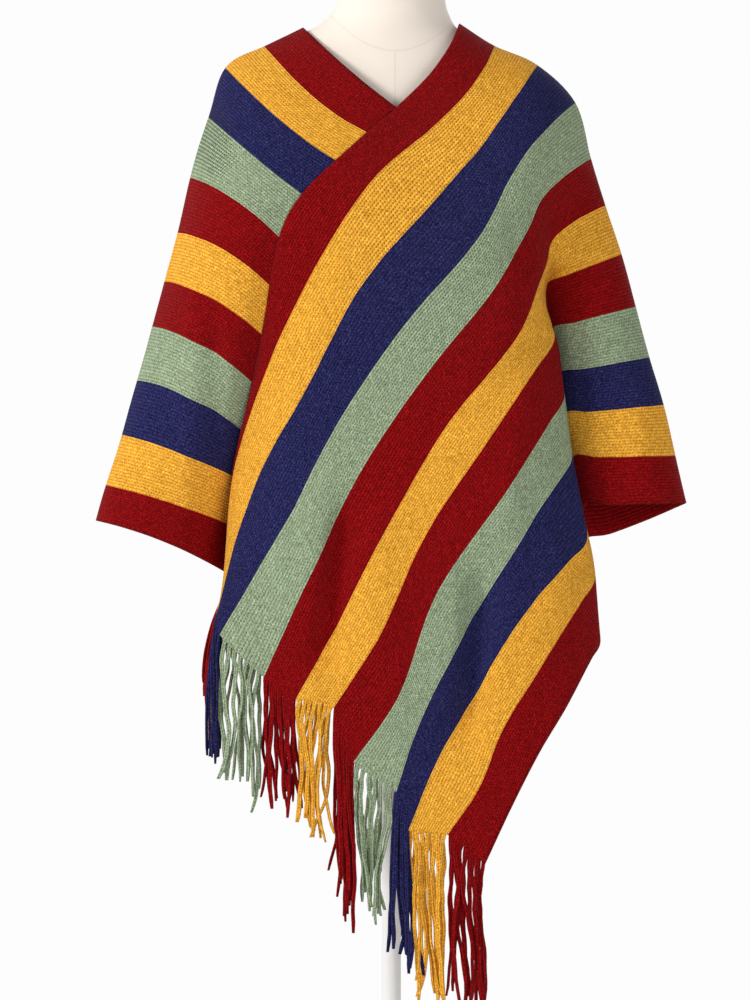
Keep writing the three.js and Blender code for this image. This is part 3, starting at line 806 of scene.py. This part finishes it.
def stitched_yarn(nodes, shader, colour, place, stitches, loose):
    """Colours the shader with heathered yarn and painted shade between the stitches, and raises the
    stitches.
    """
    yarn = place_group(nodes, heather_group(), Color=colour, Vector=place, Amount=FLECKS)
    tone = nodes.add("ShaderNodeVectorMath", operation="SCALE")
    nodes.feed(tone.inputs[0], yarn["Color"])
    nodes.feed(tone.inputs["Scale"], nodes.math("MULTIPLY_ADD", stitches["Shade"], 0.26, 0.93))
    # painted shade in the gaps between the stitches, near black where the knit is loose
    painted_gap_shade = shaded_gap(nodes, tone.outputs[0], loose)
    nodes.feed(shader.inputs["Base Color"], nodes.mix_colour(stitches["Gap"], tone.outputs[0], painted_gap_shade))
    fuzz = nodes.noise(place, 900.0, 1.0)
    bump_into(nodes, shader, nodes.math("MULTIPLY_ADD", fuzz, 0.3, stitches["Height"]), 0.0011, 0.8)


def patch_looseness(nodes, place, loose_patch):
    """How loose the knit is at each place, from the named row of the table."""
    patch_x, patch_z, patch_reach, most = LOOSE_PATCHES[loose_patch]
    where = nodes.add("ShaderNodeSeparateXYZ")
    nodes.feed(where.inputs[0], place)
    beside = nodes.math("SUBTRACT", where.outputs["X"], patch_x)
    above = nodes.math("MULTIPLY", nodes.math("SUBTRACT", where.outputs["Z"], patch_z), 0.55)
    away = nodes.math("MULTIPLY_ADD", beside, beside, nodes.math("MULTIPLY", above, above))
    reach = nodes.add("ShaderNodeMapRange", interpolation_type="SMOOTHSTEP")
    nodes.feed(reach.inputs["Value"], away)
    reach.inputs["From Min"].default_value = patch_reach ** 2
    reach.inputs["From Max"].default_value = patch_reach ** 2 / 8
    spread = nodes.math("MULTIPLY_ADD", nodes.noise(place, 30.0), 0.5 * most, 0.7 * most)
    return nodes.math("MULTIPLY", reach.outputs["Result"], spread)


def knit_material(name, knit, loose_patch):
    """Striped wool knit whose stitches follow the cloth's own map."""
    material, nodes, shader = new_material(name, 0.95, 0.02)
    place = nodes.add("ShaderNodeTexCoord").outputs["Object"]
    cloth = nodes.add("ShaderNodeUVMap", uv_map="Cloth").outputs["UV"]
    parts = nodes.add("ShaderNodeSeparateXYZ")
    nodes.feed(parts.inputs[0], cloth)
    across, along = parts.outputs["X"], parts.outputs["Y"]
    loose = patch_looseness(nodes, place, loose_patch)
    stitches = place_group(
        nodes,
        stitch_group(),
        Across=nodes.math("DIVIDE", across, knit.ridge_pitch),
        Along=nodes.math("DIVIDE", along, knit.stitch_pitch),
        Looseness=loose,
    )
    wander = nodes.math("MULTIPLY", nodes.math("SUBTRACT", nodes.noise(cloth, 30.0), 0.5), 0.0012)
    colour = stripe_colour(nodes, nodes.math("ADD", across, wander), knit)
    stitched_yarn(nodes, shader, colour, place, stitches, loose)
    return material


def cord_material(name, colour, knit):
    """Narrow knitted cord of one yarn, with the cloth's own stitches."""
    material, nodes, shader = new_material(name, 0.95, 0.02)
    place = nodes.add("ShaderNodeTexCoord").outputs["Object"]
    cord = nodes.add("ShaderNodeUVMap", uv_map="Cord").outputs["UV"]
    parts = nodes.add("ShaderNodeSeparateXYZ")
    nodes.feed(parts.inputs[0], cord)
    stitches = place_group(
        nodes,
        stitch_group(),
        Across=nodes.math("MULTIPLY", parts.outputs["X"], 4.0),
        Along=nodes.math("DIVIDE", parts.outputs["Y"], knit.stitch_pitch),
        Looseness=0.1,
    )
    stitched_yarn(nodes, shader, (*colour, 1), place, stitches, 0.0)
    return material


def cover_material(colour):
    """Smooth woven cover of the dress form, with its sewn centre and neck seams."""
    material, nodes, shader = new_material("Form cover", 0.75, 0.15)
    place = nodes.add("ShaderNodeTexCoord").outputs["Object"]
    weave_a = nodes.add("ShaderNodeTexWave", bands_direction="X")
    weave_b = nodes.add("ShaderNodeTexWave", bands_direction="Z")
    for weave in (weave_a, weave_b):
        nodes.feed(weave.inputs["Vector"], place)
        weave.inputs["Scale"].default_value = 420.0
        weave.inputs["Distortion"].default_value = 0.6
    weave = nodes.math("MULTIPLY", weave_a.outputs["Fac"], weave_b.outputs["Fac"])
    parts = nodes.add("ShaderNodeSeparateXYZ")
    nodes.feed(parts.inputs[0], place)
    centre = nodes.math("ABSOLUTE", nodes.math("SUBTRACT", parts.outputs["X"], COVER_CENTRE))
    curve = nodes.math("MULTIPLY", centre, centre)
    seam = nodes.math("MULTIPLY_ADD", curve, NECK_SEAM_CURVE, NECK_SEAM_HEIGHT)
    above = nodes.math("SUBTRACT", parts.outputs["Z"], seam)
    on_centre = nodes.math("LESS_THAN", centre, SEAM_LINE)
    line = nodes.math("MULTIPLY", on_centre, nodes.math("LESS_THAN", above, 0.0))
    line = nodes.math("MAXIMUM", line, nodes.math("LESS_THAN", nodes.math("ABSOLUTE", above), SEAM_LINE))
    warm = nodes.noise(place, 14.0)
    base = nodes.mix_colour(nodes.math("MULTIPLY", warm, 0.12), (*colour, 1), (0.74, 0.62, 0.5, 1))
    seamed = nodes.mix_colour(nodes.math("MULTIPLY", line, 0.16), base, (0.5, 0.4, 0.32, 1))
    nodes.feed(shader.inputs["Base Color"], seamed)
    height = nodes.math("SUBTRACT", nodes.math("MULTIPLY", weave, 0.3), line)
    bump_into(nodes, shader, height, 0.0004, 0.5)
    return material


def paint_material(colour):
    """Satin powder paint with a fine grain."""
    material, nodes, shader = new_material("Stand paint", 0.38, 0.0)
    shader.inputs["Specular IOR Level"].default_value = 0.5
    place = nodes.add("ShaderNodeTexCoord").outputs["Object"]
    grain = nodes.noise(place, 1500.0, 2.0)
    wear = nodes.noise(place, 9.0, 3.0)
    worn = nodes.mix_colour(nodes.math("MULTIPLY", wear, 0.1), (*colour, 1), (0.7, 0.69, 0.66, 1))
    nodes.feed(shader.inputs["Base Color"], worn)
    nodes.feed(shader.inputs["Roughness"], nodes.math("MULTIPLY_ADD", wear, 0.14, 0.32))
    bump_into(nodes, shader, grain, 0.0001, 0.3)
    return material


def wear_material(piece, material):
    """Puts a material on a piece and ties the piece to the one body."""
    piece.data.materials.append(material)
    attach(piece, "root")


def strand_path(root, face, outward, stripe, index, side, steps, sway):
    """Centre line of one fringe cord, from inside the cloth's end to its hanging tip."""
    length, tips_from, tips_to, joined = FRINGE_ROWS[stripe]
    seed = stripe * 10 + index + (0 if side < 0 else BACK_SEED)
    length *= 1 + STRAND_UNEVENNESS * unevenness(seed)
    layer = (1 if index % 2 == 0 else -1) * LAYER_OFFSET
    level = np.array([face[0], face[1], 0.0])
    level /= np.linalg.norm(level)
    beside = np.array([-level[1], level[0], 0.0])
    tip = root + level * layer * (1.4 + unevenness(seed + 40))
    tip[0] = mix(tips_from, tips_to, (index + 0.5) / STRANDS_PER_STRIPE)
    tip[2] = root[2] - length
    start = root - outward * (7 + 4 * unevenness(seed + 11))
    leaving = root + outward * 9
    hanging = np.array([tip[0], tip[1], root[2] - 0.42 * length])
    pair = stripe * 10 + index // 2 + (0 if side < 0 else BACK_SEED)
    slit = joined * (1 + 0.5 * unevenness(pair + 9))
    points = []
    for step in range(steps + 1):
        t = step / steps
        rest = 1 - t
        point = start * rest**3 + leaving * 3 * rest**2 * t + hanging * 3 * rest * t**2 + tip * t**3
        together = math.sin(2 * math.pi * (t * (0.9 + 0.3 * unevenness(pair + 17)) + unevenness(pair + 3)))
        alone = math.sin(2 * math.pi * (t * (1.6 + 0.5 * unevenness(seed + 7)) + unevenness(seed + 3)))
        ripple = math.sin(2 * math.pi * (t * length / RIPPLE_LENGTH + unevenness(seed + 21)))
        flick = max(t - FLICK_FROM, 0) ** 2 * 44 * unevenness(seed + 5) ** 3
        swing = 0.75 * together + 0.5 * alone + 0.13 * ripple + flick
        loose = smooth((t - slit) * 2.6)
        point += beside * loose * swing * sway
        point += level * loose * math.sin(5 * t + seed) * 0.45 * sway
        points.append(point)
    return points, math.atan2(level[0], -level[1]), slit


def cord_width(t, width, slit):
    """Width of a cord: as wide as its share of the cloth where it is still joined, then its own."""
    free = smooth((t - slit * 0.6) / 0.1)
    return mix(max(ROOT_PITCH * MM * (1 - 0.35 * smooth(t / 0.3)), width), width, free)


def add_cord(shape, uv, points, slit, width, thickness, turn, twist):
    """Sweeps a flat rounded section along the points and closes both ends."""
    ring = bmesh.ops.create_circle(shape, cap_ends=True, segments=CORD_SIDES, radius=1)["verts"]
    face = ring[0].link_faces[0]
    around = list(face.verts)
    rings = []
    for step, point in enumerate(points):
        t = step / (len(points) - 1)
        spin = turn + smooth(t - slit) * twist
        pinch = 0.72 if step in (0, len(points) - 1) else 1.0
        for corner, vertex in enumerate(around):
            angle = 2 * math.pi * corner / len(around)
            across = math.cos(angle) * cord_width(t, width, slit) / 2 * pinch
            through = math.sin(angle) * thickness / 2 * pinch
            x = across * math.cos(spin) - through * math.sin(spin)
            y = across * math.sin(spin) + through * math.cos(spin)
            vertex.co = Vector((point[0] * MM + x, point[1] * MM + y, point[2] * MM))
        rings.append(list(around))
        if step < len(points) - 1:
            grown = bmesh.ops.extrude_face_region(shape, geom=[face])["geom"]
            if step > 0:
                bmesh.ops.delete(shape, geom=[face], context="FACES_ONLY")
            face = next(part for part in grown if isinstance(part, bmesh.types.BMFace))
            around = list(face.verts)
    run = 0.0
    for step in range(1, len(rings)):
        rise = float(np.linalg.norm(points[step] - points[step - 1])) * MM
        for side_face in {f for vertex in rings[step - 1] for f in vertex.link_faces}:
            if len(side_face.verts) != 4:
                continue
            for loop in side_face.loops:
                if loop.vert in rings[step]:
                    loop[uv].uv = (rings[step].index(loop.vert) / CORD_SIDES, run + rise)
                elif loop.vert in rings[step - 1]:
                    loop[uv].uv = (rings[step - 1].index(loop.vert) / CORD_SIDES, run)
        run += rise


def fringe_piece(name, stripe, side, grid, fringe):
    """All cords of one stripe's fringe as one joined mesh."""
    cells = CELLS_ACROSS // STRIPES
    hem, inner = (grid[0], grid[1]) if side < 0 else (grid[-1], grid[-2])
    normals = grid_normals(grid)[0 if side < 0 else -1]
    first = stripe * cells
    edge = hem[first : first + cells + 1]
    faces = normals[first : first + cells + 1]
    away = edge - inner[first : first + cells + 1]
    away -= faces * np.sum(away * faces, axis=1, keepdims=True)
    away /= np.linalg.norm(away, axis=1, keepdims=True)
    shape = bmesh.new()
    uv = shape.loops.layers.uv.new("Cord")
    for index in range(STRANDS_PER_STRIPE):
        place = mix(ROOTS_FROM, ROOTS_TO, (index + 0.5) / STRANDS_PER_STRIPE) * cells
        low = min(int(place), cells - 1)
        root = edge[low] + (edge[low + 1] - edge[low]) * (place - low)
        sway = fringe.sway / MM
        points, turn, slit = strand_path(
            root, faces[low], away[low], stripe, index, side, fringe.steps, sway,
        )
        seed = stripe * 31 + index * 7 + side
        width = fringe.width * (1 + 0.18 * unevenness(seed + 2))
        add_cord(shape, uv, points, slit, width, fringe.thickness, turn, 1.4 * unevenness(seed))
    bmesh.ops.recalc_face_normals(shape, faces=shape.faces)
    for face in shape.faces:
        face.smooth = True
    return mesh_object(name, shape)


def form_mesh():
    """Dress form of smooth level sections, closed at the neck and below."""
    places = np.linspace(0, 1, (len(FORM_SECTIONS) - 1) * FORM_STEPS + 1)
    levels = spline(FORM_SECTIONS, places, centripetal=True)
    shape = bmesh.new()
    bmesh.ops.create_circle(shape, cap_ends=True, segments=FORM_SIDES, radius=1)
    face = next(iter(shape.faces))
    for step, (z, centre, half_width, half_depth, fullness) in enumerate(levels):
        for corner, vertex in enumerate(list(face.verts)):
            angle = 2 * math.pi * corner / FORM_SIDES
            depth = half_depth * (FORM_BACK_SHARE if math.sin(angle) > 0 else 1)
            power = 2 / fullness
            across = math.copysign(abs(math.cos(angle)) ** power, math.cos(angle))
            through = math.copysign(abs(math.sin(angle)) ** power, math.sin(angle))
            vertex.co = Vector((centre + half_width * across, depth * through, z)) * MM
        if step < len(levels) - 1:
            grown = bmesh.ops.extrude_face_region(shape, geom=[face])["geom"]
            if step > 0:
                bmesh.ops.delete(shape, geom=[face], context="FACES_ONLY")
            face = next(part for part in grown if isinstance(part, bmesh.types.BMFace))
    bmesh.ops.recalc_face_normals(shape, faces=shape.faces)
    for face in shape.faces:
        face.smooth = len(face.verts) == 4
    return mesh_object("form_cover", shape)


def area_light(name, place, target, size, power):
    lamp = bpy.data.lights.new(name, "AREA")
    lamp.shape = "RECTANGLE"
    lamp.size, lamp.size_y = size
    lamp.energy = power
    light = bpy.data.objects.new(name, lamp)
    light.location = place
    light.rotation_euler = (Vector(target) - Vector(place)).to_track_quat("-Z", "Y").to_euler()
    bpy.context.scene.collection.objects.link(light)


def studio_world(ambient, backdrop):
    """Even pale surroundings that light the object softly and look brighter to the camera."""
    world = bpy.data.worlds.new("Studio")
    world.use_nodes = True
    nodes = Nodes(world.node_tree)
    surround = world.node_tree.nodes["Background"]
    surround.inputs["Color"].default_value = (1, 1, 1, 1)
    seen = nodes.add("ShaderNodeLightPath").outputs["Is Camera Ray"]
    nodes.feed(surround.inputs["Strength"], nodes.math("MULTIPLY_ADD", seen, backdrop - ambient, ambient))
    return world


def studio_floor(colour):
    """Round matt floor under the stand."""
    shape = bmesh.new()
    bmesh.ops.create_circle(shape, cap_ends=True, segments=128, radius=FLOOR_RADIUS)
    floor = mesh_object("studio_floor", shape)
    material, nodes, shader = new_material("Studio floor", 0.9, 0.0)
    place = nodes.add("ShaderNodeTexCoord").outputs["Object"]
    share = nodes.math("MULTIPLY", nodes.noise(place, 1.5), 0.04)
    nodes.feed(shader.inputs["Base Color"], nodes.mix_colour(share, (*colour, 1), (0.85, 0.85, 0.86, 1)))
    floor.data.materials.append(material)
    return floor


class PONCHO_OT_stage(bpy.types.Operator):
    """Adds the camera, the round floor, the pale surroundings and the soft studio light"""

    bl_idname = "poncho.stage"
    bl_label = "Studio"

    def execute(self, context):
        stage = context.scene.poncho_stage
        lens = bpy.data.cameras.new("photo_camera")
        lens.sensor_fit = "VERTICAL"
        lens.sensor_height = 36
        lens.lens = lens.sensor_height * CAMERA_DISTANCE / FRAME_HEIGHT
        lens.clip_end = 60
        camera = bpy.data.objects.new("photo_camera", lens)
        camera.location = (VIEW_CENTRE[0], CLOTH_FRONT - CAMERA_DISTANCE, VIEW_CENTRE[1])
        camera.rotation_euler = (math.pi / 2, 0, 0)
        context.scene.collection.objects.link(camera)
        context.scene.camera = camera

        studio_floor(stage.floor)
        context.scene.world = studio_world(AMBIENT, BACKDROP)
        context.scene.view_settings.view_transform = "Standard"
        for name, place, target, size, power_share in LIGHTS:
            area_light(name, place, target, size, stage.key_power * power_share)
        return {"FINISHED"}


class PONCHO_OT_dress_form(bpy.types.Operator):
    """Makes the covered dress form and finishes its cap, pole and base"""

    bl_idname = "poncho.dress_form"
    bl_label = "Dress form"

    def execute(self, context):
        stage = context.scene.poncho_stage
        cover = cover_material(stage.cover)
        form = form_mesh()
        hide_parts("dress_form")
        wear_material(form, cover)
        paint = paint_material(stage.paint)
        for node, material in (("neck_cap", cover), ("stand_pole", paint), ("stand_base", paint)):
            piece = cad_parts[node]
            for slot in piece.material_slots:
                slot.material = material
        return {"FINISHED"}


class PONCHO_OT_wrap_strip(bpy.types.Operator):
    """Makes the long striped strip that folds over one shoulder"""

    bl_idname = "poncho.wrap_strip"
    bl_label = "Wrap strip"

    def execute(self, context):
        knit = context.scene.poncho_knit
        cells = CELLS_ACROSS * knit.cells
        grid = refine_along(long_rows(cells), knit.steps)
        grid = press_creases(grid, (CREASES, SLEEVE_CREASES))
        sleeve_from = (6 * cells // STRIPES, TUCK_ROW * knit.steps + knit.steps // 2)
        piece = cloth_mesh("wrap_cloth", grid, cloth_lengths(grid, True, sleeve_from))
        give_wall(piece)
        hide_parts("wrap_front", "wrap_back")
        wear_material(piece, knit_material("Striped knit", knit, "chest"))
        return {"FINISHED"}


class PONCHO_OT_shoulder_strip(bpy.types.Operator):
    """Makes the short striped strip over the other shoulder"""

    bl_idname = "poncho.shoulder_strip"
    bl_label = "Shoulder strip"

    def execute(self, context):
        knit = context.scene.poncho_knit
        grid = refine_along(short_rows(CELLS_ACROSS * knit.cells), 2 * knit.steps)
        grid = press_creases(grid, (SLEEVE_CREASES,))
        piece = cloth_mesh("shoulder_cloth", grid, cloth_lengths(grid, False, None))
        give_wall(piece)
        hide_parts("shoulder_strip")
        wear_material(piece, knit_material("Striped sleeve knit", knit, "sleeve"))
        return {"FINISHED"}


class PONCHO_OT_fringe(bpy.types.Operator):
    """Makes the cords that hang from both ends of the long strip"""

    bl_idname = "poncho.fringe"
    bl_label = "Fringe"

    def execute(self, context):
        knit = context.scene.poncho_knit
        grid = long_rows(CELLS_ACROSS)
        looks = {}
        for name in dict.fromkeys(STRIPE_NAMES):
            looks[name] = cord_material(f"{name.title()} cord", getattr(knit, name), knit)
        for side, face in ((-1, "front"), (1, "back")):
            for stripe, colour in enumerate(STRIPE_NAMES):
                name = f"{face}_cords_{stripe + 1:02d}"
                piece = fringe_piece(name, stripe, side, grid, context.scene.poncho_fringe)
                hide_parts(f"fringe_{face}_{stripe + 1:02d}")
                wear_material(piece, looks[colour])
        return {"FINISHED"}


class PONCHO_PT_panel(bpy.types.Panel):
    """Steps that make the poncho and its stand"""

    bl_label = "Knitted poncho"
    bl_idname = "PONCHO_PT_panel"
    bl_space_type = "VIEW_3D"
    bl_region_type = "UI"
    bl_category = "Poncho"

    def draw(self, context):
        for group in (context.scene.poncho_knit, context.scene.poncho_fringe, context.scene.poncho_stage):
            for name in group.bl_rna.properties.keys():
                if name not in {"rna_type", "name"}:
                    self.layout.prop(group, name)
        for operator in OPERATORS:
            self.layout.operator(operator.bl_idname)


GROUPS = {"poncho_knit": PonchoKnit, "poncho_fringe": PonchoFringe, "poncho_stage": PonchoStage}
OPERATORS = (
    PONCHO_OT_stage,
    PONCHO_OT_dress_form,
    PONCHO_OT_wrap_strip,
    PONCHO_OT_shoulder_strip,
    PONCHO_OT_fringe,
)


def register():
    for kind in (*GROUPS.values(), *OPERATORS, PONCHO_PT_panel):
        bpy.utils.register_class(kind)
    for name, kind in GROUPS.items():
        setattr(bpy.types.Scene, name, PointerProperty(type=kind))


def unregister():
    for name in GROUPS:
        delattr(bpy.types.Scene, name)
    for kind in (PONCHO_PT_panel, *reversed(OPERATORS), *reversed(GROUPS.values())):
        bpy.utils.unregister_class(kind)


def main():
    register()
    bpy.ops.poncho.stage()
    bpy.ops.poncho.dress_form()
    bpy.ops.poncho.wrap_strip()
    bpy.ops.poncho.shoulder_strip()
    bpy.ops.poncho.fringe()
    bpy.context.view_layer.update()


if __name__ == "__main__":
    main()
